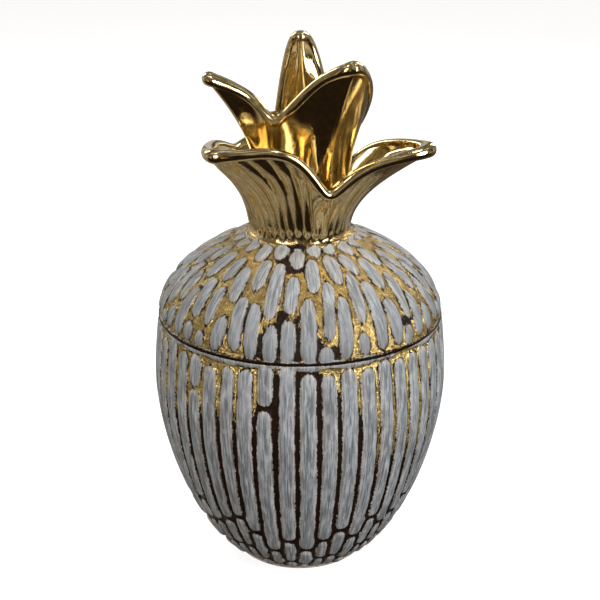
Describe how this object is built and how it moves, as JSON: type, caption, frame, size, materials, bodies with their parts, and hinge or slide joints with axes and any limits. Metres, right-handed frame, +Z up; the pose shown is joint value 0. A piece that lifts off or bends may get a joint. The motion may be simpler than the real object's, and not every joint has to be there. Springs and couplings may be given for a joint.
{
  "type": "pineapple jar",
  "caption": "Lidded ceramic jar shaped as a pineapple: a fluted egg-shaped bowl and a domed lid of raised lozenges with a two-tier crown of gold leaves.",
  "frame": {"origin": "centre of the foot, on the surface that the jar stands on", "axes": "+Z up through the crown; -Y is the front, the side that the picture shows; +X is to its right"},
  "size_m": [0.1596, 0.1598, 0.2896],
  "materials": {
    "painted_jar": "matt grey-white paint brushed over raised strips, with gold lustre and dark brown glaze in the grooves",
    "painted_lid": "matt grey-white paint brushed over raised lozenges, gold lustre in the grooves and bright gold lustre on the leaf crown"
  },
  "bodies": {
    "root": {"jar": "painted_jar", "lid": "painted_lid"}
  },
  "joints": []
}
